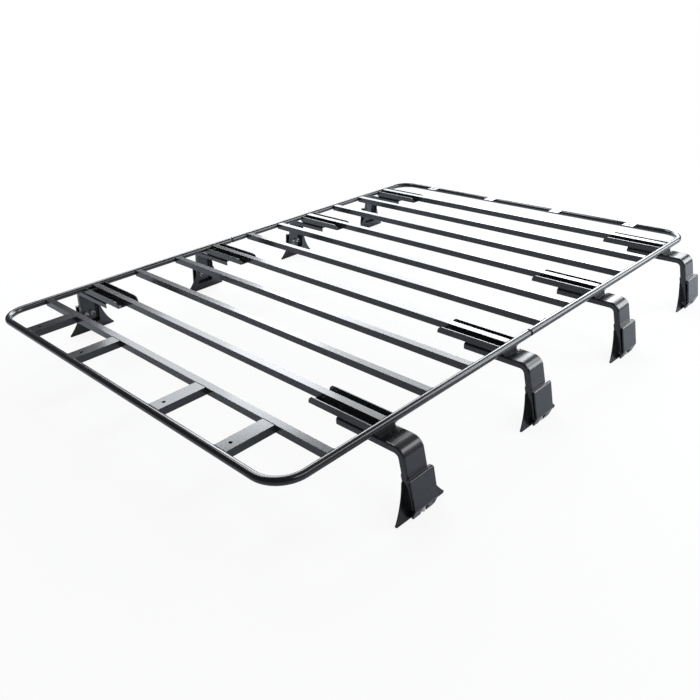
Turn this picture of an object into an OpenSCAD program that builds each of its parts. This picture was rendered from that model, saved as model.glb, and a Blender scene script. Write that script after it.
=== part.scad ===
// Flat platform roof rack on eight gutter legs.
// +X is to the right of the vehicle, +Y to its rear, +Z up.
// The origin is on the ground under the middle of the platform.

/* [Platform] */
// Outside width of the platform
deck_w = 1300; // [1100:10:1600]
// Outside length of the platform
deck_l = 1870; // [1750:10:2300]
// Height of the ring tube's centre above the feet
deck_h = 188.5; // [180:1:240]
// Outside diameter of the ring tube
tube_d = 20; // [18:1:28]
// Wall of the ring tube
tube_wall = 2; // [1.5:0.5:3]
// Bend radius of the ring's corners, at the tube's centre
corner_r = 72; // [50:1:110]

/* [Ring joint] */
// Distance of the joint in the side rails ahead of the platform's middle
joint_ahead = 62; // [20:1:120]
// Length of spigot that shows between the two ring halves
joint_gap = 9; // [2:1:14]
// Length of each spigot tube
spigot_l = 110; // [60:5:160]
// Wall of the spigot tube
spigot_wall = 2; // [1.5:0.5:3]

/* [Crossbars] */
// Width of a crossbar, along the vehicle
bar_w = 20; // [15:1:26]
// Height of a crossbar
bar_h = 20; // [15:1:26]
// Wall of a crossbar
bar_wall = 1.5; // [1.2:0.1:2.5]
// Depth of the crossbars' tops below the top of the ring tube
bar_drop = 3; // [0:0.5:5]
// Distance from the front tube's centre to the first crossbar
first_bar = 148.5; // [140:0.5:170]
// Distance from the joint to the crossbar in front of it
bar_before_joint = 82.5; // [70:0.5:100]
// Distance from the joint to the crossbar behind it
bar_after_joint = 81.5; // [70:0.5:100]
// Distance from the last crossbar to the rear tube's centre
last_bar = 143; // [130:0.5:170]

/* [Front mounts] */
// Width of the flat box section of a front mount
mount_w = 40; // [30:1:50]
// Height of the flat box section of a front mount
mount_h = 20; // [15:1:24]
// Wall of a front mount
mount_wall = 1.5; // [1.2:0.1:2.5]
// Distance from a side rail's centre to the outer front mount beside it
mount_inset = 189; // [140:1:220]
// Place of the inner front mounts, as a share of the outer ones' distance from the middle
mount_share = 0.44; // [0.3:0.01:0.6]
// Distance from the front tube's centre to the holes in the front mounts
mount_hole_in = 35; // [30:1:60]
// Diameter of the holes in the front mounts
mount_hole_d = 9; // [6:0.5:12]

/* [Rear tabs] */
// Side of a square rear tab
tab_w = 40; // [30:1:50]
// Thickness of a rear tab
tab_t = 3; // [2:0.5:5]
// Height of a rear tab's top above the ring tube's centre
tab_rise = 9; // [6:0.5:10]
// Distance from a side rail's centre to the outer rear tab beside it
tab_inset = 192; // [140:1:220]
// Place of the inner rear tabs, as a share of the outer ones' distance from the middle
tab_share = 0.335; // [0.25:0.005:0.5]
// Diameter of the hole in a rear tab
tab_hole_d = 8.5; // [6:0.5:12]
// Distance from the rear tube's centre to the holes in the tabs
tab_hole_in = 23; // [18:1:28]

/* [Cradles] */
// Outside width of a cradle channel
cradle_w = 70; // [60:1:90]
// Height of a cradle channel
cradle_h = 19; // [14:1:26]
// Thickness of the cradle's sheet
cradle_t = 2.5; // [2:0.5:4]
// Length of a cradle channel, in from the side rail's centre
cradle_l = 210; // [160:1:240]
// Radius that rounds the inner end of a cradle's flanges
cradle_round = 17; // [8:1:18]
// Diameter of the holes in a cradle's floor
cradle_hole_d = 9; // [6:0.5:11]
// Distance from a cradle's inner end to its first floor hole
cradle_hole_in = 12; // [10:1:20]
// Distance between the floor holes of a cradle
cradle_hole_pitch = 105; // [90:1:140]

/* [Leg channels] */
// Thickness of the spacer between a cradle and its leg
spacer_t = 6; // [2:0.5:8]
// Width of the spacer
spacer_w = 58; // [40:1:64]
// Outside width of a leg channel
leg_w = 67; // [60:1:80]
// Depth of a leg channel's flanges
leg_depth = 16.5; // [14:0.5:22]
// Thickness of the leg's sheet
leg_t = 3; // [2.5:0.5:4]
// Outer radius of the channel's two long folds
leg_fold_r = 4.5; // [4:0.5:6]
// Outer radius of the leg's bend
leg_bend_r = 30; // [26:1:40]
// Length of a leg's level arm, in from the side rail's centre
leg_arm = 122; // [100:1:150]
// Reach of the leg beyond the ring tube's centre, to its square corner
leg_out = 74; // [70:1:100]
// Outward lean of the leg, in degrees from upright
leg_lean = 10.9; // [6:0.1:14]
// Length by which the leg runs on below the clamp's bend
leg_past_bend = 4; // [0:1:6]

/* [Foot plates] */
// Thickness of a foot plate
foot_t = 3; // [2:0.5:4]
// Width of a foot plate across its wings
foot_w = 162; // [130:1:200]
// Width of the wings where they start, just below the plate's top
foot_neck_w = 74; // [70:1:84]
// Width of the straight middle of a foot plate's lower edge
foot_base_w = 88; // [60:1:110]
// Height of a foot plate's top above the ground
foot_top_z = 104; // [98:1:112]
// Height of a foot plate's lower edge above the ground
foot_lift = 1; // [0.5:0.5:6]
// Height of the wings, along the plate
foot_wing_h = 86; // [70:1:90]
// Height of the strip that joins the two wings
foot_strip = 28; // [20:1:36]
// Rise of the wing tips above the middle of the lower edge
foot_tip_rise = 0.5; // [0:0.5:6]
// Radius of the wing tips
foot_tip_r = 4; // [3:0.5:8]
// Radius of the wings' hollow sides
foot_side_r = 215; // [150:5:300]
// Width of the slot for the gutter's rim, between a foot plate and its clamp
gutter_gap = 3; // [2:0.5:4]

/* [Clamps] */
// Width of a clamp plate
clamp_w = 76; // [66:1:100]
// Thickness of a clamp plate
clamp_t = 4; // [3:0.5:5]
// Length of a clamp's flat face, along its slope
clamp_face = 75; // [60:1:90]
// Angle by which a clamp's face stands more upright than the leg, in degrees
clamp_upright = 1.7; // [0:0.1:3]
// Length of the lower part that turns in under the gutter
clamp_hook = 28; // [24:1:32]
// Angle by which the lower part turns in, in degrees
clamp_turn = 31; // [28:1:34]
// Depth of the rolled lip at a clamp's top
clamp_lip = 12; // [10:0.5:14]
// Radius on the outside of a clamp's rolled lip
clamp_roll = 5; // [4:0.5:7]
// Radius of the hook's two lower corners
hook_r = 8; // [2:1:14]
// Width of the notch in a clamp's lower edge
notch_w = 20; // [12:1:30]
// Height of the notch in a clamp's lower edge
notch_h = 22; // [12:1:26]
// Diameter of a clamp's two studs
stud_d = 8; // [6:1:10]
// Distance between the two studs of a clamp
stud_pitch = 24; // [20:1:32]
// Length of a stud behind the clamp's face
stud_l = 24; // [20:1:30]
// Distance from the clamp's top to its studs
stud_drop = 38; // [36:1:48]

/* [Fits] */
// Gap between pieces that are cut to fit round the ring tube
weld_gap = 0.2; // [0.1:0.1:0.5]
// Clearance all round a spigot in its tube
spigot_fit = 0.2; // [0.1:0.1:0.5]
// Clearance all round a stud in its hole
stud_fit = 0.5; // [0.3:0.1:1]

/* [Hidden] */
$fn = 64;
cut = 1;
far = 400;
tube_r = tube_d / 2;
rail_x = deck_w / 2 - tube_r;
front_y = -deck_l / 2 + tube_r;
rear_y = deck_l / 2 - tube_r;
joint_y = -joint_ahead;
cope_r = tube_r + weld_gap;
mount_outer = rail_x - mount_inset;
mount_inner = mount_share * mount_outer;
tab_outer = rail_x - tab_inset;
tab_inner = tab_share * tab_outer;

bar_top = deck_h + tube_r - bar_drop;
bar_floor = bar_top - bar_h;
half_bars = 5;
bar_count = 11;
front_pitch = (joint_y - bar_before_joint - front_y - first_bar) / (half_bars - 1);
rear_pitch = (rear_y - last_bar - joint_y - bar_after_joint) / (bar_count - half_bars - 1);
leg_bars = [2, 5, 8, 11];

// Depth by which a crossbar reaches under the side rail, past the rail's inner side.
bar_reach = 4;
// Straight sheet lies deeper than the surface of the bend beside it by this hair, and its end runs
// on inside the bend by run_in, so that the two join as one solid.
hair = 0.03;
run_in = 0.5;
run_angle = 10;

cradle_floor = bar_floor - cradle_t;
cradle_in = rail_x - cradle_l;
cradle_out = rail_x;
leg_in = rail_x - leg_arm;
leg_top = cradle_floor - spacer_t;
leg_corner_x = rail_x + leg_out;
bend_turn = 90 - leg_lean;
bend_x = leg_corner_x - leg_bend_r * tan(bend_turn / 2);
bend_z = leg_top - leg_bend_r;
bend_low_z = bend_z + leg_bend_r * sin(leg_lean);

// A clamp's hook ends on the ground, and everything else in the clamp is measured up from there.
// The lower corner of its lip bears on the leg's outer face.
clamp_lean = leg_lean - clamp_upright;
hook_lean = clamp_turn - clamp_lean;
clamp_bend_z = clamp_hook * cos(hook_lean) + clamp_t * sin(hook_lean);
clamp_top_z = clamp_bend_z + clamp_face * cos(clamp_lean) + clamp_t * sin(clamp_lean);
lip_corner_z = clamp_top_z - clamp_lip * sin(clamp_lean) - clamp_t * cos(clamp_lean);
clamp_top_x =
    leg_outer_x(lip_corner_z) + weld_gap
    + clamp_lip * cos(clamp_lean) - clamp_t * sin(clamp_lean);
hook_inner_x = clamp_inner_x(clamp_bend_z) - clamp_hook * sin(hook_lean);
leg_end_h = clamp_bend_z - leg_past_bend;
stud_z = clamp_top_z - stud_drop;

// The foot plate's outer face lies on the flanges' inner edges at the plate's top, and its lower
// edge stands the gutter's slot away from the hook.
foot_top_x = leg_inner_x(foot_top_z);
foot_low_x = hook_inner_x - gutter_gap;
foot_run = foot_low_x - foot_top_x;
foot_rise = foot_top_z - foot_lift;
foot_lean = atan2(foot_run, foot_rise);
foot_h = norm([foot_run, foot_rise]);

black_coat = [0.16, 0.17, 0.19];
bar_coat = [0.22, 0.23, 0.26];

// Place of crossbar k along the rack, counted from 1 at the front.
function bar_y(k) =
    k > half_bars
    ? joint_y + bar_after_joint + (k - half_bars - 1) * rear_pitch
    : front_y + first_bar + (k - 1) * front_pitch;

// Outer face of the leg at height z.
function leg_outer_x(z) = leg_corner_x + (leg_top - z) * tan(leg_lean);

// Inner edge of the leg's flanges at height z.
function leg_inner_x(z) = leg_outer_x(z) - leg_depth / cos(leg_lean);

// Inner face of a clamp at height z, above its bend.
function clamp_inner_x(z) =
    clamp_top_x - clamp_t / cos(clamp_lean) + (clamp_top_z - z) * tan(clamp_lean);

// Lays a side view drawn in X and Z flat across the rack, w wide and centred on y = 0.
module across(w) {
    translate([0, w / 2, 0])
        rotate([90, 0, 0])
            linear_extrude(height = w)
                children();
}

module both_sides() {
    children();
    mirror([1, 0, 0]) children();
}

// Straight tube along X or Y from its start.
module tube_along(axis, length, d) {
    rotate(axis == "x" ? [0, 90, 0] : [-90, 0, 0])
        cylinder(h = length, d = d);
}

// Quarter bend that joins a side rail to an end tube, in the front right corner.
module corner_bend(d) {
    translate([rail_x - corner_r, front_y + corner_r, 0])
        rotate([0, 0, -90])
            rotate_extrude(angle = 90)
                translate([corner_r, 0])
                    circle(d = d);
}

// One half of the ring as a rod of diameter d, with rails that end at end_y.
module half_ring_rod(d, end_y) {
    translate([-(rail_x - corner_r), front_y, 0])
        tube_along("x", 2 * (rail_x - corner_r), d);
    both_sides() {
        corner_bend(d);
        translate([rail_x, front_y + corner_r, 0])
            tube_along("y", end_y - front_y - corner_r, d);
    }
}

module half_ring(end_y) {
    translate([0, 0, deck_h])
        difference() {
            half_ring_rod(tube_d, end_y);
            half_ring_rod(tube_d - 2 * tube_wall, end_y + cut);
        }
}

module ring_front() {
    color(black_coat) half_ring(joint_y - joint_gap / 2);
}

module ring_rear() {
    color(black_coat)
        mirror([0, 1, 0])
            half_ring(-(joint_y + joint_gap / 2));
}

module joint_spigots() {
    spigot_d = tube_d - 2 * tube_wall - 2 * spigot_fit;
    color(black_coat)
        both_sides()
            translate([rail_x, joint_y - spigot_l / 2, deck_h])
                difference() {
                    tube_along("y", spigot_l, spigot_d);
                    translate([0, -cut, 0])
                        tube_along("y", spigot_l + 2 * cut, spigot_d - 2 * spigot_wall);
                }
}

// Space that the side rails of the ring take up.
module rail_space() {
    both_sides()
        translate([rail_x, -deck_l, deck_h])
            tube_along("y", 2 * deck_l, 2 * cope_r);
}

// Space that the two end tubes of the ring take up.
module end_tube_space() {
    for (y = [front_y, rear_y])
        translate([-deck_w, y, deck_h])
            tube_along("x", 2 * deck_w, 2 * cope_r);
}

module crossbar(k) {
    half = rail_x - tube_r + bar_reach;
    color(bar_coat)
        difference() {
            translate([-half, bar_y(k) - bar_w / 2, bar_floor])
                cube([2 * half, bar_w, bar_h]);
            translate([-half - cut, bar_y(k) - bar_w / 2 + bar_wall, bar_floor + bar_wall])
                cube([2 * (half + cut), bar_w - 2 * bar_wall, bar_h - 2 * bar_wall]);
            rail_space();
        }
}

// Flat box section from the front tube to the first crossbar, centred on x.
module front_mount(x) {
    start = front_y + tube_r / 2;
    length = bar_y(1) - bar_w / 2 - start;
    floor_z = bar_top - mount_h;
    color(bar_coat)
        difference() {
            translate([x - mount_w / 2, start, floor_z])
                cube([mount_w, length, mount_h]);
            translate([x - mount_w / 2 + mount_wall, start - cut, floor_z + mount_wall])
                cube([mount_w - 2 * mount_wall, length + 2 * cut, mount_h - 2 * mount_wall]);
            translate([x, front_y + mount_hole_in, floor_z - cut])
                cylinder(h = mount_h + 2 * cut, d = mount_hole_d);
            end_tube_space();
        }
}

module rear_tabs() {
    color(black_coat)
        difference() {
            for (x = [-tab_outer, -tab_inner, tab_inner, tab_outer])
                translate([x - tab_w / 2, rear_y - tab_w, deck_h + tab_rise - tab_t])
                    cube([tab_w, tab_w, tab_t]);
            for (x = [-tab_outer, -tab_inner, tab_inner, tab_outer])
                translate([x, rear_y - tab_hole_in, deck_h])
                    cylinder(h = tab_rise + cut, d = tab_hole_d);
            end_tube_space();
        }
}

// Side view of a cradle: its inner end is rounded at the top.
module cradle_side() {
    difference() {
        translate([cradle_in, cradle_floor])
            square([cradle_out - cradle_in, cradle_h]);
        translate([cradle_in, cradle_floor + cradle_h - cradle_round])
            difference() {
                translate([-cut, 0])
                    square([cradle_round + cut, cradle_round + cut]);
                translate([cradle_round, 0])
                    circle(r = cradle_round);
            }
    }
}

module cradle() {
    side = cradle_w / 2;
    difference() {
        across(cradle_w) cradle_side();
        translate([cradle_in - cut, -side + cradle_t, cradle_floor + cradle_t])
            cube([far, cradle_w - 2 * cradle_t, far]);
        for (x = [0, cradle_hole_pitch], s = [-1, 1])
            translate([
                cradle_in + cradle_hole_in + x,
                s * (side + bar_w / 2) / 2,
                cradle_floor - cut
            ])
                cylinder(h = cradle_t + 2 * cut, d = cradle_hole_d);
        rail_space();
    }
}

module cradles(k) {
    color(black_coat)
        translate([0, bar_y(k), 0])
            both_sides() cradle();
}

// Flat block between a cradle's floor and the leg under it.
module spacer() {
    translate([leg_in, -spacer_w / 2, leg_top])
        cube([cradle_out - leg_in, spacer_w, spacer_t]);
}

module spacers(k) {
    color(black_coat)
        translate([0, bar_y(k), 0])
            both_sides() spacer();
}

// Rectangle from x0 to x1, w wide about the x axis, with its two corners at x1 rounded by r.
module rounded_end(x0, x1, w, r) {
    translate([x0, -w / 2])
        square([x1 - r - x0, w]);
    translate([x1 - r, -w / 2 + r])
        square([r, w - 2 * r]);
    for (s = [-1, 1])
        translate([x1 - r, s * (w / 2 - r)])
            circle(r = r);
}

// Cross-section of the leg channel, drawn with the bend's centre at the origin. Its surfaces lie
// deeper than the full section's by inset.
module leg_section(inset) {
    back = leg_bend_r - leg_depth;
    hollow_w = leg_w - 2 * leg_t + 2 * inset;
    hollow_r = leg_fold_r - leg_t + inset;
    difference() {
        rounded_end(back + inset, leg_bend_r - inset, leg_w - 2 * inset, leg_fold_r - inset);
        rounded_end(back - cut, leg_bend_r - leg_t + inset, hollow_w, hollow_r);
    }
}

// The channel: level from its inner end, round the bend, and down to its lower end.
module leg_channel() {
    leg_down = (bend_low_z - leg_end_h) / cos(leg_lean);
    translate([bend_x, 0, bend_z]) {
        translate([run_in, 0, 0])
            rotate([0, -90, 0])
                linear_extrude(height = bend_x - leg_in + run_in)
                    leg_section(hair);
        rotate([90, 0, 0])
            rotate([0, 0, leg_lean])
                rotate_extrude(angle = bend_turn)
                    leg_section(0);
        rotate([0, -leg_lean, 0])
            translate([0, 0, -leg_down])
                linear_extrude(height = leg_down + run_in)
                    leg_section(hair);
    }
}

// What is cut from the flanges, so that they end on the foot plate's outer face.
module leg_trim() {
    polygon([
        [foot_top_x, foot_top_z],
        [foot_low_x, foot_lift],
        [foot_low_x - far, foot_lift],
        [foot_low_x - far, foot_top_z]
    ]);
}

module leg() {
    difference() {
        leg_channel();
        across(leg_w + 2 * cut) leg_trim();
        studs(stud_d + 2 * stud_fit, 0);
    }
}

module leg_at(k, side) {
    color(black_coat)
        translate([0, bar_y(k), 0])
            mirror([side == "left" ? 1 : 0, 0, 0])
                leg();
}

// Centre of the circle of radius r that runs through a and b, on the right of the way from a to b.
function arc_centre(a, b, r) =
    let (
        way = b - a,
        half = norm(way) / 2,
        side = [way[1], -way[0]] / norm(way)
    )
    (a + b) / 2 + side * sqrt(r * r - half * half);

// Right half of a foot plate's outline, with its lower edge on y = 0.
module foot_half() {
    tip_x = foot_w / 2 - foot_tip_r;
    tip_y = foot_tip_rise + foot_tip_r;
    side_start = [foot_w / 2, tip_y];
    side_end = [foot_neck_w / 2, foot_wing_h];
    translate([tip_x, tip_y])
        circle(r = foot_tip_r);
    difference() {
        polygon([
            [0, 0],
            [foot_base_w / 2, 0],
            [tip_x, foot_tip_rise],
            [tip_x, tip_y],
            side_start,
            side_end,
            [leg_w / 2, foot_wing_h + (foot_neck_w - leg_w) / 2],
            [leg_w / 2, foot_h],
            [0, foot_h]
        ]);
        translate(arc_centre(side_start, side_end, foot_side_r))
            circle(r = foot_side_r, $fn = 256);
    }
}

module foot_outline() {
    slot_w = leg_w - 2 * leg_t;
    difference() {
        union() {
            foot_half();
            mirror([1, 0]) foot_half();
        }
        translate([-slot_w / 2, foot_strip])
            square([slot_w, foot_h]);
    }
}

module foot_plate() {
    translate([foot_low_x, 0, foot_lift])
        rotate([0, -foot_lean, 0])
            rotate([90, 0, -90])
                linear_extrude(height = foot_t)
                    foot_outline();
}

module foot_plates(k) {
    color(black_coat)
        translate([0, bar_y(k), 0])
            both_sides() foot_plate();
}

// The two studs of a clamp as rods of diameter d, sunk into its plate by the length root.
module studs(d, root) {
    for (s = [-1, 1])
        translate([clamp_inner_x(stud_z), s * stud_pitch / 2, stud_z])
            rotate([0, -90 - clamp_lean, 0])
                translate([0, 0, -root])
                    cylinder(h = stud_l + root, d = d);
}

// Side view of a clamp, with the outer corner of its lip at the origin and its face running down.
module clamp_side() {
    difference() {
        union() {
            translate([-clamp_lip, -clamp_t])
                square([clamp_lip, clamp_t]);
            translate([-clamp_t, -clamp_face])
                square([clamp_t, clamp_face]);
        }
        translate([-clamp_roll, -clamp_roll])
            difference() {
                square(clamp_roll + cut);
                circle(r = clamp_roll);
            }
    }
    translate([-clamp_t, -clamp_face]) {
        intersection() {
            circle(r = clamp_t + hair);
            polygon([
                [0, 0],
                2 * clamp_t * [cos(run_angle), sin(run_angle)],
                [2 * clamp_t, 0],
                2 * clamp_t * [cos(clamp_turn), -sin(clamp_turn)],
                2 * clamp_t * [cos(clamp_turn + run_angle), -sin(clamp_turn + run_angle)]
            ]);
        }
        rotate(-clamp_turn)
            translate([0, -clamp_hook])
                square([clamp_t, clamp_hook]);
    }
}

// What is cut from the two lower corners of a clamp's hook.
module hook_corners() {
    translate([clamp_top_x, 0, clamp_top_z])
        rotate([0, -clamp_lean, 0])
            translate([-clamp_t, 0, -clamp_face])
                rotate([0, clamp_turn, 0])
                    for (s = [0, 1])
                        mirror([0, s, 0])
                            hook_corner();
}

module hook_corner() {
    translate([-cut, clamp_w / 2 - hook_r, hook_r - clamp_hook])
        difference() {
            translate([0, 0, -hook_r - cut])
                cube([clamp_t + 2 * cut, hook_r + cut, hook_r + cut]);
            translate([-cut, 0, 0])
                rotate([0, 90, 0])
                    cylinder(h = clamp_t + 4 * cut, r = hook_r);
        }
}

module clamp() {
    difference() {
        union() {
            translate([clamp_top_x, 0, clamp_top_z])
                across(clamp_w)
                    rotate(clamp_lean)
                        clamp_side();
            studs(stud_d, clamp_t / 2);
        }
        translate([leg_corner_x - far / 2, -notch_w / 2, -cut])
            cube([far, notch_w, notch_h + cut]);
        hook_corners();
    }
}

module clamps(k) {
    color(black_coat)
        translate([0, bar_y(k), 0])
            both_sides() clamp();
}

ring_front();
ring_rear();
joint_spigots();
crossbar(1);  // crossbar_1
crossbar(2);  // crossbar_2
crossbar(3);  // crossbar_3
crossbar(4);  // crossbar_4
crossbar(5);  // crossbar_5
crossbar(6);  // crossbar_6
crossbar(7);  // crossbar_7
crossbar(8);  // crossbar_8
crossbar(9);  // crossbar_9
crossbar(10);  // crossbar_10
crossbar(11);  // crossbar_11
front_mount(-mount_outer);  // front_mount_1
front_mount(-mount_inner);  // front_mount_2
front_mount(mount_inner);  // front_mount_3
front_mount(mount_outer);  // front_mount_4
rear_tabs();
cradles(2);  // cradles_2
cradles(5);  // cradles_5
cradles(8);  // cradles_8
cradles(11);  // cradles_11
spacers(2);  // spacers_2
spacers(5);  // spacers_5
spacers(8);  // spacers_8
spacers(11);  // spacers_11
leg_at(2, "left");  // leg_2_left
leg_at(2, "right");  // leg_2_right
leg_at(5, "left");  // leg_5_left
leg_at(5, "right");  // leg_5_right
leg_at(8, "left");  // leg_8_left
leg_at(8, "right");  // leg_8_right
leg_at(11, "left");  // leg_11_left
leg_at(11, "right");  // leg_11_right
foot_plates(2);  // foot_plates_2
foot_plates(5);  // foot_plates_5
foot_plates(8);  // foot_plates_8
foot_plates(11);  // foot_plates_11
clamps(2);  // clamps_2
clamps(5);  // clamps_5
clamps(8);  // clamps_8
clamps(11);  // clamps_11
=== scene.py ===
"""Dresses a flat platform roof rack: its powder coat, the weld beads, a washer, a nut and thread on
each clamp stud, a small bolt in each clamp's notch, and a plain white stage. Lengths are in metres.
+X is to the right of the vehicle and +Y to its rear."""

import math

import bmesh
import bpy
from bpy.props import FloatProperty, FloatVectorProperty, PointerProperty
from mathutils import Matrix, Vector


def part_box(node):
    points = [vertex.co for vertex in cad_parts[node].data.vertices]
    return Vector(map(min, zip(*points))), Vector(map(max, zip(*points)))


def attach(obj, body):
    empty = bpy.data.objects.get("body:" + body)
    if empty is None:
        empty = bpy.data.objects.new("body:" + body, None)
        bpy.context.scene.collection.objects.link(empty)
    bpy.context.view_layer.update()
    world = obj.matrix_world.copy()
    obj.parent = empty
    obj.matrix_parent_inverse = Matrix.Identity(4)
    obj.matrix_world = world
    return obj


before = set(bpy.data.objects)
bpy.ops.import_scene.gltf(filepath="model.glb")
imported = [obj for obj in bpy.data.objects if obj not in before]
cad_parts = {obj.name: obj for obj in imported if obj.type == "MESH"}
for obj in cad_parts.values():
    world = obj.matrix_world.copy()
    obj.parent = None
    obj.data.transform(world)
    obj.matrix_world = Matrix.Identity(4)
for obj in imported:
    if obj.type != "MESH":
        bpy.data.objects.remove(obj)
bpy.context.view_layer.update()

bl_info = {
    "name": "Platform roof rack",
    "version": (1, 0, 0),
    "blender": (4, 5, 0),
    "location": "View3D > Sidebar > Roof rack",
    "description": "Coats, welds and bolts a flat platform roof rack and sets it on a white stage",
    "category": "Object",
}

BODY = "root"
MM = 0.001


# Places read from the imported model

def middle(node):
    low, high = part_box(node)
    return (low + high) / 2


def half_depth(node):
    low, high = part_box(node)
    return (high.y - low.y) / 2


LEG_BARS = (2, 5, 8, 11)
BAR_COUNT = 11
MOUNT_COUNT = 4
RING_LOW, RING_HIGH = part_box("ring_front")
TUBE_R = (RING_HIGH.z - RING_LOW.z) / 2
RING_Z = (RING_HIGH.z + RING_LOW.z) / 2
RAIL_X = RING_HIGH.x - TUBE_R
FRONT_Y = RING_LOW.y + TUBE_R
BAR_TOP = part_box("crossbar_1")[1].z
BAR_HALF = half_depth("crossbar_1")
CRADLE_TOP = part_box("cradles_2")[1].z
CRADLE_HALF = half_depth("cradles_2")

# Places on the right legs that no box gives, as X and Z. The left legs mirror them.

STUD_PITCH = 24 * MM
STUD_FOOT = (731.06 * MM, 62.53 * MM)    # where a stud leaves the leg's inner face
STUD_LEAN = math.radians(9.2)            # how far a stud tips down towards the inside
BOLT_FOOT = (732.6 * MM, 5.6 * MM)       # where a notch bolt leaves the foot plate's outer face
BOLT_LEAN = math.radians(13.3)           # how far a notch bolt tips up towards the outside

# Powder coat. A pattern is a noise's scale in waves to a metre, its detail and its roughness.

BROAD = (9.0, 2.0, 0.5)
GRAIN = (900.0, 2.0, 0.6)
ORANGE_PEEL = (320.0, 2.0, 0.5)
DUST = (60.0, 4.0, 0.65)
DUST_RANGE = (0.55, 0.8)                 # noise at which dust begins, and at which it is full
DUST_AMOUNT = 0.10
PALE_GAIN, PALE_LIFT = 1.6, 0.008        # from the coat's colour to its paler tone
PALE_SHARE, PALE_CHANGE = 0.25, 0.5      # how much of that tone shows, and how far it varies
BROAD_GLOSS, GRAIN_GLOSS = 0.10, 0.03    # how far each pattern varies the roughness
PEEL_SHARE, GRAIN_SHARE = 0.75, 0.25     # of the waves on the surface
PEEL_DEPTH = 0.15 * MM
CLEAR_ROUGHNESS = 0.10
EDGE_SAMPLES = 6
ROUNDED_EDGE = 1.2 * MM                  # radius to which a coat rounds the edges
SHEET_EDGE = 0.4 * MM                    # the same on thin sheet that shows edge on

# Each coat's colour setting, how much of that colour it has, what it adds to the roughness
# setting, the weight of its clear coat, and the radius of its edges
COATS = {
    "ring_coat": ("ring", 1.0, -0.04, 0.6, ROUNDED_EDGE),
    "bar_coat": ("bars", 1.0, 0.0, 0.5, ROUNDED_EDGE),
    "leg_coat": ("legs", 1.0, 0.0, 0.5, ROUNDED_EDGE),
    "spigot_coat": ("ring", 1.0, 0.1, 0.0, ROUNDED_EDGE),
    "cradle_coat": ("legs", 1.0, 0.0, 0.5, SHEET_EDGE),
    # The spacers keep only 0.4 of the legs' colour: painted shade for the dark under the side rails
    "spacer_coat": ("legs", 0.4, 0.25, 0.0, SHEET_EDGE),
}

# The coat of the nodes whose names start so. All others have the legs' coat.
COAT_BY_START = {
    "ring": "ring_coat", "joint": "spigot_coat", "crossbar": "bar_coat", "front": "bar_coat",
    "rear": "bar_coat", "cradles": "cradle_coat", "spacers": "spacer_coat",
}

# Zinc plate

ZINC_COLOUR = (0.86, 0.87, 0.88)
ZINC_WARMTH = (1.0, 0.96, 0.86)          # what the yellow patches leave of each colour
ZINC_PATCHES = (130.0, 3.0, 0.5)
ZINC_PATCH_RANGE = (0.4, 0.65)           # noise at which a patch begins, and at which it is full
ZINC_SCRATCHES = (1500.0, 2.0, 0.7)
ZINC_ROUGHNESS, ZINC_GLOSS = 0.42, 0.2   # the mean, and how far the scratches vary it
ZINC_METALLIC = 0.45
SCRATCH_STRENGTH = 0.15
SCRATCH_DEPTH = 0.05 * MM

# Weld beads

DROP_SHAPE = (0.62, 1.0, 0.9)            # a drop's length, width and height for its radius
DROP_CHANGE = 0.08                       # share by which the drops' radius varies
DROP_RHYTHM = 2.4                        # radians of that variation from one drop to the next
FULL_BEAD, TOP_BEAD, FLAT_BEAD = 1.0, 0.8, 0.6    # a bead's share of the radius setting
BAR_BEAD_LOW, CRADLE_BEAD_LOW = -0.7, -0.75       # height of a bead's lower end, in tube radii

# Fasteners

SHARP_TURN = math.radians(35)            # edges of beads and fasteners that turn more stay sharp
ROUND_FACES = 20
WASHER_FACES = 28
WASHER_TAPER = 0.3 * MM
HEX_EDGE = 0.6 * MM
THREAD_TURNS = 4
THREAD_CREST, THREAD_ROOT = 0.1 * MM, 0.5 * MM    # above the stud's radius, and below it
BOLT_SHANK_R = 3.0 * MM
BOLT_SHANK_L = 5.5 * MM
BOLT_HEAD_R = 5.8 * MM
BOLT_HEAD_H = 4.5 * MM

# Stage

# Each lamp's heading from the rack's rear towards its right side and its rise above the floor in
# degrees, its width in metres and its power in watts
LAMPS = {
    "left_high": (270, 60, 2.0, 44.0),
    "left_low": (293, 32, 1.6, 27.0),
    "back_wall": (327, 19, 3.0, 46.0),
    "back_left": (323, 33, 3.0, 34.0),
    "back_middle": (349, 22, 2.4, 40.0),
    "back_right": (45, 36, 2.0, 30.0),
    "back_right_low": (40, 14, 2.0, 40.0),
    "right_low": (90, 36, 2.0, 18.0),
}
LAMP_AIM = Vector((0.0, 0.0, 0.2))
LAMP_REACH = 3.4                         # from that point to each lamp
LAMP_HEIGHT = 1.1                        # of each lamp's face
LAMP_TINT = (0.93, 0.965, 1.0)
FLOOR_HALF = 14.0
FLOOR_SEEN = (0.97, 0.97, 0.97)          # what the camera sees of the floor under the shadow
SHADOW_FADE = (1.0, 2.6)                 # from the origin, where the shadow weakens and ends
WHITE = (1.0, 1.0, 1.0)

# The photograph's camera: its place, and the directions of its picture
CAMERA_PLACE = (1.5367, -1.5811, 1.0375)
CAMERA_RIGHT = Vector((0.712807, 0.699484, -0.051273))
CAMERA_DOWN = Vector((0.286263, -0.356896, -0.889201))
CAMERA_AHEAD = Vector((-0.640281, 0.619151, -0.454634))
SENSOR_WIDTH = 36.0
CLIP_NEAR, CLIP_FAR = 0.05, 100.0


# Shader nodes

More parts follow.
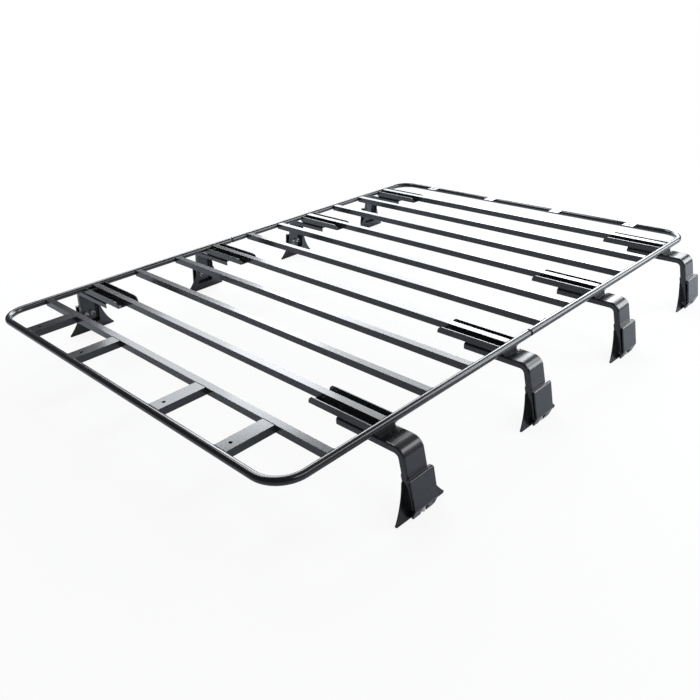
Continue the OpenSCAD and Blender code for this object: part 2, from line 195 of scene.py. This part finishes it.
class Value:
    """A shader socket that takes Python arithmetic, each step a Math node."""

    def __init__(self, shader, socket):
        self.shader = shader
        self.socket = socket

    def math(self, operation, *others):
        inputs = {0: self}
        inputs.update({i + 1: other for i, other in enumerate(others)})
        return self.shader.node("ShaderNodeMath", {"operation": operation}, inputs)[0]

    def __add__(self, other):
        return self.math("ADD", other)

    def __sub__(self, other):
        return self.math("SUBTRACT", other)

    def __mul__(self, other):
        return self.math("MULTIPLY", other)

    def __rsub__(self, other):
        return (self * -1) + other

    __radd__ = __add__
    __rmul__ = __mul__

    def above(self, low, high):
        """0 below low and 1 over high, with a smooth rise between."""
        inputs = {"Value": self, "From Min": low, "From Max": high}
        settings = {"interpolation_type": "SMOOTHSTEP"}
        return self.shader.node("ShaderNodeMapRange", settings, inputs)["Result"]


class Outputs:
    """A node's outputs, each given as a Value."""

    def __init__(self, shader, node):
        self.shader = shader
        self.node = node

    def __getitem__(self, key):
        return Value(self.shader, self.node.outputs[key])


class Shader:
    """A material's or world's node tree, emptied, with one method that adds any node."""

    def __init__(self, owner):
        owner.use_nodes = True
        self.tree = owner.node_tree
        self.tree.nodes.clear()

    def node(self, kind, settings=None, inputs=None):
        made = self.tree.nodes.new(kind)
        for key, value in (settings or {}).items():
            setattr(made, key, value)
        for key, value in (inputs or {}).items():
            if isinstance(value, Value):
                self.tree.links.new(value.socket, made.inputs[key])
            else:
                made.inputs[key].default_value = value
        return Outputs(self, made)

    def place(self):
        return self.node("ShaderNodeTexCoord")["Object"]

    def noise(self, scale, detail, roughness):
        """A pattern from 0 to 1 that swings about 0.5."""
        inputs = {"Vector": self.place(), "Scale": scale, "Detail": detail, "Roughness": roughness}
        return self.node("ShaderNodeTexNoise", None, inputs)["Fac"]

    def mix(self, factor, first, second):
        settings = {"data_type": "RGBA"}
        inputs = {0: factor, 6: first, 7: second}
        return self.node("ShaderNodeMix", settings, inputs)[2]

    def bump(self, height, strength, distance, edge=0.0):
        """Waves on the surface, whose sharp edges look rounded to the radius called edge."""
        inputs = {"Height": height, "Strength": strength, "Distance": distance}
        if edge:
            rounded = self.node("ShaderNodeBevel", {"samples": EDGE_SAMPLES}, {"Radius": edge})
            inputs["Normal"] = rounded["Normal"]
        return self.node("ShaderNodeBump", None, inputs)["Normal"]

    def surface(self, **values):
        """The material's surface, from the sockets' names in small letters."""
        inputs = {
            key.replace("_", " ").title().replace("Ior", "IOR"): value
            for key, value in values.items()
        }
        self.finish(self.node("ShaderNodeBsdfPrincipled", None, inputs)["BSDF"])

    def finish(self, shader, kind="ShaderNodeOutputMaterial"):
        self.node(kind, None, {"Surface": shader})


def rgba(colour):
    return (*colour, 1.0)


# Finishes

def powder_coat(name, colour, roughness, clear, peel, edge):
    """Satin powder coat: a fine orange peel, slow changes of gloss, and a trace of dust on top."""
    material = bpy.data.materials.new(name)
    shader = Shader(material)
    broad = shader.noise(*BROAD)
    grain = shader.noise(*GRAIN)
    orange_peel = shader.noise(*ORANGE_PEEL)
    dust = shader.noise(*DUST).above(*DUST_RANGE) * DUST_AMOUNT
    pale = tuple(PALE_GAIN * c + PALE_LIFT for c in colour)
    share = (broad - 0.5) * PALE_CHANGE + dust + PALE_SHARE
    tone = shader.mix(share, rgba(colour), rgba(pale))
    gloss = (broad - 0.5) * BROAD_GLOSS + (grain - 0.5) * GRAIN_GLOSS + roughness
    waves = orange_peel * PEEL_SHARE + grain * GRAIN_SHARE
    normal = shader.bump(waves, peel, PEEL_DEPTH, edge)
    shader.surface(
        base_color=tone, roughness=gloss, normal=normal, coat_weight=clear,
        coat_roughness=CLEAR_ROUGHNESS, ior=1.5, specular_ior_level=0.5,
    )
    return material


def zinc_plate(name):
    """Dulled zinc: fine scratches, and a faint yellow passivation in patches."""
    material = bpy.data.materials.new(name)
    shader = Shader(material)
    patches = shader.noise(*ZINC_PATCHES)
    scratches = shader.noise(*ZINC_SCRATCHES)
    warm = tuple(c * f for c, f in zip(ZINC_COLOUR, ZINC_WARMTH))
    tone = shader.mix(patches.above(*ZINC_PATCH_RANGE), rgba(ZINC_COLOUR), rgba(warm))
    gloss = (scratches - 0.5) * ZINC_GLOSS + ZINC_ROUGHNESS
    normal = shader.bump(scratches, SCRATCH_STRENGTH, SCRATCH_DEPTH)
    shader.surface(base_color=tone, metallic=ZINC_METALLIC, roughness=gloss, normal=normal)
    return material


def give(obj, material):
    obj.data.materials.clear()
    obj.data.materials.append(material)


# Mesh building

def finished(name, shape, material):
    """Turns a bmesh into an object at the origin that rides on the rack."""
    smooth(shape)
    bmesh.ops.recalc_face_normals(shape, faces=shape.faces)
    mesh = bpy.data.meshes.new(name)
    shape.to_mesh(mesh)
    shape.free()
    obj = bpy.data.objects.new(name, mesh)
    bpy.context.scene.collection.objects.link(obj)
    give(obj, material)
    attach(obj, BODY)
    return obj


def smooth(shape):
    """Smooth faces, with the edges that turn by more than SHARP_TURN left sharp."""
    for face in shape.faces:
        face.smooth = True
    for edge in shape.edges:
        if len(edge.link_faces) == 2:
            edge.smooth = edge.calc_face_angle(0.0) < SHARP_TURN


def bead(shape, points, radius):
    """A weld bead: one flattened drop of metal after another along the points."""
    run = bmesh.new()
    for i, point in enumerate(points):
        ahead = points[min(i + 1, len(points) - 1)]
        behind = points[max(i - 1, 0)]
        turn = (ahead - behind).to_track_quat("X", "Z").to_matrix().to_4x4()
        grown = radius * (1.0 + DROP_CHANGE * math.sin(DROP_RHYTHM * i))
        place = Matrix.Translation(point) @ turn @ Matrix.Diagonal((*DROP_SHAPE, 1.0))
        bmesh.ops.create_icosphere(run, subdivisions=2, radius=grown, matrix=place)
    add_to(shape, run)


def add_to(shape, part):
    """Moves a small bmesh into a larger one."""
    mesh = bpy.data.meshes.new("part")
    part.to_mesh(mesh)
    part.free()
    shape.from_mesh(mesh)
    bpy.data.meshes.remove(mesh)


def rail_beads(shape, side, y, half, low, high, weld):
    """A bead up each face of a bar or cradle, on the inner side of one side rail."""
    for edge in (-1, 1):
        path = arc_points(side, y + edge * half, low, high, weld.step)
        bead(shape, path, FULL_BEAD * weld.radius)


def arc_points(side, y, low, high, step):
    """Points on the inner side of a side rail, from one height above its centre to another."""
    start, end = rail_angle(low), rail_angle(high)
    count = max(2, round((end - start) * TUBE_R / step))
    points = []
    for i in range(count + 1):
        angle = start + (end - start) * i / count
        x = side * (RAIL_X - TUBE_R * math.cos(angle))
        points.append(Vector((x, y, RING_Z + TUBE_R * math.sin(angle))))
    return points


def rail_angle(height):
    """How far round a side rail its surface reaches a height above its centre."""
    return math.asin(max(-1.0, min(1.0, height / TUBE_R)))


def line_points(start, end, step):
    count = max(2, round((end - start).length / step))
    return [start.lerp(end, i / count) for i in range(count + 1)]


def standing(foot, out):
    """A frame at a point, with its Z along a direction."""
    return Matrix.Translation(foot) @ out.to_track_quat("Z", "Y").to_matrix().to_4x4()


def rod(shape, place, start, length, low_r, high_r, faces):
    """A round bar along a frame's Z, from a height above it, that may taper."""
    bmesh.ops.create_cone(
        shape, cap_ends=True, segments=faces, radius1=low_r, radius2=high_r, depth=length,
        matrix=place @ Matrix.Translation((0, 0, start + length / 2)))


def hexagon(shape, place, corner_r, start, height):
    """A hexagon head or nut with broken edges, from a height above its place."""
    made = bmesh.ops.create_cone(
        shape, cap_ends=True, segments=6, radius1=corner_r, radius2=corner_r, depth=height,
        matrix=place @ Matrix.Translation((0, 0, start + height / 2)))
    verts = set(made["verts"])
    edges = [e for e in shape.edges if e.verts[0] in verts and e.verts[1] in verts]
    bmesh.ops.bevel(
        shape, geom=edges, offset=HEX_EDGE, segments=2, profile=0.5, affect="EDGES", material=-1)


# Settings

class CoatSettings(bpy.types.PropertyGroup):
    ring: FloatVectorProperty(
        name="Ring", description="Coat of the ring, its joint and the rail welds",
        subtype="COLOR", size=3, min=0.0, max=1.0, default=(0.010, 0.011, 0.013))
    bars: FloatVectorProperty(
        name="Bars", description="Coat of the crossbars, front mounts and rear tabs",
        subtype="COLOR", size=3, min=0.0, max=1.0, default=(0.017, 0.019, 0.022))
    legs: FloatVectorProperty(
        name="Legs", description="Coat of the legs, cradles, foot plates and clamps",
        subtype="COLOR", size=3, min=0.0, max=1.0, default=(0.013, 0.014, 0.016))
    roughness: FloatProperty(
        name="Roughness", description="Dullness of the powder coat", subtype="FACTOR",
        min=0.0, max=1.0, default=0.28)
    peel: FloatProperty(
        name="Orange peel", description="Strength of the coat's fine waves", subtype="FACTOR",
        min=0.0, max=1.0, default=0.012)


class WeldSettings(bpy.types.PropertyGroup):
    radius: FloatProperty(
        name="Bead", description="Radius of a weld bead", unit="LENGTH",
        min=0.0008, max=0.004, default=0.0017, precision=4)
    step: FloatProperty(
        name="Ripple", description="Distance between the ripples of a bead", unit="LENGTH",
        min=0.0008, max=0.004, default=0.0016, precision=4)


class FastenerSettings(bpy.types.PropertyGroup):
    nut_flats: FloatProperty(
        name="Nut", description="Width of a nut across its flats", unit="LENGTH",
        min=0.010, max=0.017, default=0.012, precision=4)
    nut_height: FloatProperty(
        name="Nut height", description="Height of a nut", unit="LENGTH",
        min=0.004, max=0.009, default=0.0065, precision=4)
    washer_d: FloatProperty(
        name="Washer", description="Outside diameter of a washer", unit="LENGTH",
        min=0.014, max=0.024, default=0.0145, precision=4)
    washer_t: FloatProperty(
        name="Washer thickness", description="Thickness of a washer", unit="LENGTH",
        min=0.001, max=0.003, default=0.0016, precision=4)
    thread_pitch: FloatProperty(
        name="Thread", description="Pitch of the stud's thread", unit="LENGTH",
        min=0.0008, max=0.002, default=0.00125, precision=5)
    stud_d: FloatProperty(
        name="Stud", description="Diameter of a stud", unit="LENGTH",
        min=0.006, max=0.010, default=0.008, precision=4)


class StageSettings(bpy.types.PropertyGroup):
    floor: FloatVectorProperty(
        name="Floor", description="Colour that the floor throws on the rack; the camera sees white",
        subtype="COLOR", size=3, min=0.0, max=1.0, default=(0.57, 0.60, 0.66))
    lens: FloatProperty(
        name="Lens", description="Focal length on a 36 mm sensor", subtype="DISTANCE_CAMERA",
        unit="CAMERA", min=10.0, max=200.0, default=37.42)
    shadow: FloatProperty(
        name="Shadow", description="How much of the rack's shadow the floor shows",
        subtype="FACTOR", min=0.0, max=1.0, default=0.11)
    light: FloatProperty(
        name="Light", description="Strength of all the lamps together", min=0.0, max=10.0,
        default=1.0)
    air: FloatProperty(
        name="Air", description="Strength of the even light from all round", min=0.0,
        max=4.0, default=0.05)
    mirror: FloatProperty(
        name="Mirrored white", description="How white the surroundings look in a gloss",
        min=0.0, max=1.0, default=0.10)


class RackSettings(bpy.types.PropertyGroup):
    coat: PointerProperty(type=CoatSettings)
    weld: PointerProperty(type=WeldSettings)
    fastener: PointerProperty(type=FastenerSettings)
    stage: PointerProperty(type=StageSettings)


# Pieces

class RACK_OT_coat(bpy.types.Operator):
    """Gives every part of the rack its powder coat"""
    bl_idname = "rack.coat"
    bl_label = "Powder coat"
    bl_options = {"REGISTER", "UNDO"}

    def execute(self, context):
        coat = context.scene.rack.coat
        made = {}
        for name, (setting, share, duller, clear, edge) in COATS.items():
            colour = tuple(share * c for c in getattr(coat, setting))
            roughness = coat.roughness + duller
            made[name] = powder_coat(name, colour, roughness, clear, coat.peel, edge)
        for name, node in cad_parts.items():
            give(node, made[COAT_BY_START.get(name.split("_")[0], "leg_coat")])
        return {"FINISHED"}


class RACK_OT_bar_welds(bpy.types.Operator):
    """Lays the weld beads that join crossbars and cradles to the side rails"""
    bl_idname = "rack.bar_welds"
    bl_label = "Rail welds"
    bl_options = {"REGISTER", "UNDO"}

    def execute(self, context):
        weld = context.scene.rack.weld
        shape = bmesh.new()
        top = BAR_TOP - RING_Z
        reach = math.sqrt(TUBE_R ** 2 - top ** 2)
        for k in range(1, BAR_COUNT + 1):
            y = middle(f"crossbar_{k}").y
            for side in (-1, 1):
                rail_beads(shape, side, y, BAR_HALF, BAR_BEAD_LOW * TUBE_R, top, weld)
                x = side * (RAIL_X - reach)
                start = Vector((x, y - BAR_HALF, BAR_TOP))
                end = Vector((x, y + BAR_HALF, BAR_TOP))
                bead(shape, line_points(start, end, weld.step), TOP_BEAD * weld.radius)
        high = CRADLE_TOP - RING_Z
        for k in LEG_BARS:
            y = middle(f"cradles_{k}").y
            for side in (-1, 1):
                rail_beads(shape, side, y, CRADLE_HALF, CRADLE_BEAD_LOW * TUBE_R, high, weld)
        finished("rail_welds", shape, bpy.data.materials["ring_coat"])
        return {"FINISHED"}


class RACK_OT_end_welds(bpy.types.Operator):
    """Lays the beads that join the front mounts to the ring and to the first crossbar"""
    bl_idname = "rack.end_welds"
    bl_label = "Front mount welds"
    bl_options = {"REGISTER", "UNDO"}

    def execute(self, context):
        weld = context.scene.rack.weld
        shape = bmesh.new()
        for k in range(1, MOUNT_COUNT + 1):
            low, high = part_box(f"front_mount_{k}")
            rise = high.z - RING_Z
            front = FRONT_Y + math.sqrt(TUBE_R ** 2 - rise ** 2)
            back, top, foot = high.y, high.z, low.z + MM
            runs = (
                ((low.x, front, top), (high.x, front, top), TOP_BEAD),
                ((low.x, back, top), (high.x, back, top), FLAT_BEAD),
                ((low.x, back, foot), (low.x, back, top), TOP_BEAD),
                ((high.x, back, foot), (high.x, back, top), TOP_BEAD),
            )
            for start, end, share in runs:
                points = line_points(Vector(start), Vector(end), weld.step)
                bead(shape, points, share * weld.radius)
        finished("end_welds", shape, bpy.data.materials["bar_coat"])
        return {"FINISHED"}


class RACK_OT_nuts(bpy.types.Operator):
    """Puts a washer, a nut and a threaded end on each clamp stud"""
    bl_idname = "rack.nuts"
    bl_label = "Stud nuts"
    bl_options = {"REGISTER", "UNDO"}

    def execute(self, context):
        settings = context.scene.rack.fastener
        shape = bmesh.new()
        for k in LEG_BARS:
            for side in (-1, 1):
                for place in stud_places(k, side):
                    washer_and_nut(shape, place, settings)
        finished("stud_nuts", shape, zinc_plate("zinc_plate"))
        return {"FINISHED"}


def stud_places(k, side):
    """Frames at the leg's inner face with Z along each stud, away from the clamp."""
    y = middle(f"clamps_{k}").y
    out = Vector((-side * math.cos(STUD_LEAN), 0.0, -math.sin(STUD_LEAN)))
    return [
        standing(Vector((side * STUD_FOOT[0], y + s * STUD_PITCH / 2, STUD_FOOT[1])), out)
        for s in (-1, 1)
    ]


def washer_and_nut(shape, place, settings):
    """A washer on the face, a chamfered hexagon nut on it, and the stud's thread past the nut."""
    thick = settings.washer_t
    washer_r = settings.washer_d / 2
    rod(shape, place, 0.0, thick, washer_r, washer_r - WASHER_TAPER, WASHER_FACES)
    hexagon(shape, place, settings.nut_flats / math.sqrt(3), thick, settings.nut_height)
    pitch = settings.thread_pitch
    crest = settings.stud_d / 2 + THREAD_CREST
    root = settings.stud_d / 2 - THREAD_ROOT
    for i in range(THREAD_TURNS):
        start = thick + settings.nut_height + i * pitch
        rod(shape, place, start, pitch, crest, root, ROUND_FACES)


class RACK_OT_notch_bolts(bpy.types.Operator):
    """Stands a small bolt on each foot plate, in the notch of the clamp's hook"""
    bl_idname = "rack.notch_bolts"
    bl_label = "Notch bolts"
    bl_options = {"REGISTER", "UNDO"}

    def execute(self, context):
        shape = bmesh.new()
        for k in LEG_BARS:
            y = middle(f"clamps_{k}").y
            for side in (-1, 1):
                out = Vector((side * math.cos(BOLT_LEAN), 0.0, math.sin(BOLT_LEAN)))
                foot = Vector((side * BOLT_FOOT[0], y, BOLT_FOOT[1]))
                notch_bolt(shape, standing(foot, out))
        finished("notch_bolts", shape, bpy.data.materials["zinc_plate"])
        return {"FINISHED"}


def notch_bolt(shape, place):
    """A short shank from the plate's face and a chamfered hexagon head on its end."""
    rod(shape, place, 0.0, BOLT_SHANK_L, BOLT_SHANK_R, BOLT_SHANK_R, ROUND_FACES)
    hexagon(shape, place, BOLT_HEAD_R, BOLT_SHANK_L, BOLT_HEAD_H)


# Stage and camera

class RACK_OT_stage(bpy.types.Operator):
    """Sets up the floor, the studio lights and the even light all round"""
    bl_idname = "rack.stage"
    bl_label = "Stage"
    bl_options = {"REGISTER", "UNDO"}

    def execute(self, context):
        stage = context.scene.rack.stage
        shape = bmesh.new()
        bmesh.ops.create_grid(shape, x_segments=1, y_segments=1, size=FLOOR_HALF)
        mesh = bpy.data.meshes.new("floor")
        shape.to_mesh(mesh)
        shape.free()
        floor = bpy.data.objects.new("floor", mesh)
        context.scene.collection.objects.link(floor)
        give(floor, floor_paper(stage))
        all_round(context.scene, stage)
        for name, (heading, rise, width, power) in LAMPS.items():
            soft_box(name, math.radians(heading), math.radians(rise), width, power * stage.light)
        context.scene.view_settings.view_transform = "Standard"
        return {"FINISHED"}


def floor_paper(stage):
    """White to the camera but for the rack's faint shadow, dim in a gloss, and pale to all else."""
    material = bpy.data.materials.new("floor_paper")
    shader = Shader(material)
    path = shader.node("ShaderNodeLightPath")
    seen = path["Is Camera Ray"].math("MAXIMUM", path["Is Transmission Ray"])
    seen = seen.math("MAXIMUM", path["Is Glossy Ray"] * stage.mirror)
    length = {"operation": "LENGTH"}
    far = shader.node("ShaderNodeVectorMath", length, {0: shader.place()})["Value"]
    tone = shader.mix(path["Is Camera Ray"], rgba(stage.floor), rgba(FLOOR_SEEN))
    paper = shader.node("ShaderNodeBsdfDiffuse", None, {"Color": tone})["BSDF"]
    glow = {"Color": rgba(WHITE), "Strength": 1.0}
    white = shader.node("ShaderNodeEmission", None, glow)["Emission"]
    blend = seen * (1.0 - stage.shadow * (1.0 - far.above(*SHADOW_FADE)))
    shader.finish(shader.node("ShaderNodeMixShader", None, {0: blend, 1: paper, 2: white})[0])
    return material


def all_round(scene, stage):
    """White behind the object, and a dimmer even light on it."""
    world = bpy.data.worlds.new("studio")
    scene.world = world
    shader = Shader(world)
    path = shader.node("ShaderNodeLightPath")
    seen = path["Is Camera Ray"].math("MAXIMUM", path["Is Transmission Ray"])
    gloss = path["Is Glossy Ray"] * (stage.mirror - stage.air)
    strength = seen * (1.0 - stage.air) + gloss + stage.air
    glow = {"Color": rgba(WHITE), "Strength": strength}
    back = shader.node("ShaderNodeBackground", None, glow)["Background"]
    shader.finish(back, "ShaderNodeOutputWorld")


def soft_box(name, heading, rise, width, power):
    """A lamp with a wide flat face, turned to the middle of the rack."""
    data = bpy.data.lights.new(name, "AREA")
    data.shape = "RECTANGLE"
    data.size, data.size_y = width, LAMP_HEIGHT
    data.energy = power
    data.color = LAMP_TINT
    flat = math.cos(rise)
    way = Vector((math.sin(heading) * flat, math.cos(heading) * flat, math.sin(rise)))
    light = bpy.data.objects.new(name, data)
    light.location = LAMP_AIM + LAMP_REACH * way
    light.rotation_euler = (-way).to_track_quat("-Z", "Y").to_euler()
    bpy.context.scene.collection.objects.link(light)


class RACK_OT_camera(bpy.types.Operator):
    """Stands the camera where the photograph was taken from"""
    bl_idname = "rack.camera"
    bl_label = "Camera"
    bl_options = {"REGISTER", "UNDO"}

    def execute(self, context):
        data = bpy.data.cameras.new("camera")
        data.lens = context.scene.rack.stage.lens
        data.sensor_width = SENSOR_WIDTH
        data.clip_start = CLIP_NEAR
        data.clip_end = CLIP_FAR
        camera = bpy.data.objects.new("camera", data)
        turn = Matrix((CAMERA_RIGHT, -CAMERA_DOWN, -CAMERA_AHEAD)).transposed().to_4x4()
        camera.matrix_world = Matrix.Translation(CAMERA_PLACE) @ turn
        context.scene.collection.objects.link(camera)
        context.scene.camera = camera
        return {"FINISHED"}


class RACK_PT_panel(bpy.types.Panel):
    """Lists the rack's pieces and their settings"""
    bl_idname = "RACK_PT_panel"
    bl_label = "Roof rack"
    bl_space_type = "VIEW_3D"
    bl_region_type = "UI"
    bl_category = "Roof rack"

    def draw(self, context):
        rack = context.scene.rack
        for operator in OPERATORS:
            self.layout.operator(operator.bl_idname)
        for group in (rack.coat, rack.weld, rack.fastener, rack.stage):
            box = self.layout.box()
            for name in group.bl_rna.properties.keys():
                if name not in ("rna_type", "name"):
                    box.prop(group, name)


OPERATORS = (
    RACK_OT_camera, RACK_OT_coat, RACK_OT_bar_welds, RACK_OT_end_welds, RACK_OT_nuts,
    RACK_OT_notch_bolts, RACK_OT_stage,
)
CLASSES = (
    CoatSettings, WeldSettings, FastenerSettings, StageSettings, RackSettings,
    *OPERATORS, RACK_PT_panel,
)


def register():
    for cls in CLASSES:
        bpy.utils.register_class(cls)
    bpy.types.Scene.rack = PointerProperty(type=RackSettings)


def unregister():
    del bpy.types.Scene.rack
    for cls in reversed(CLASSES):
        bpy.utils.unregister_class(cls)


def main():
    register()
    bpy.ops.rack.camera()
    bpy.ops.rack.coat()
    bpy.ops.rack.bar_welds()
    bpy.ops.rack.end_welds()
    bpy.ops.rack.nuts()
    bpy.ops.rack.notch_bolts()
    bpy.ops.rack.stage()


if __name__ == "__main__":
    main()
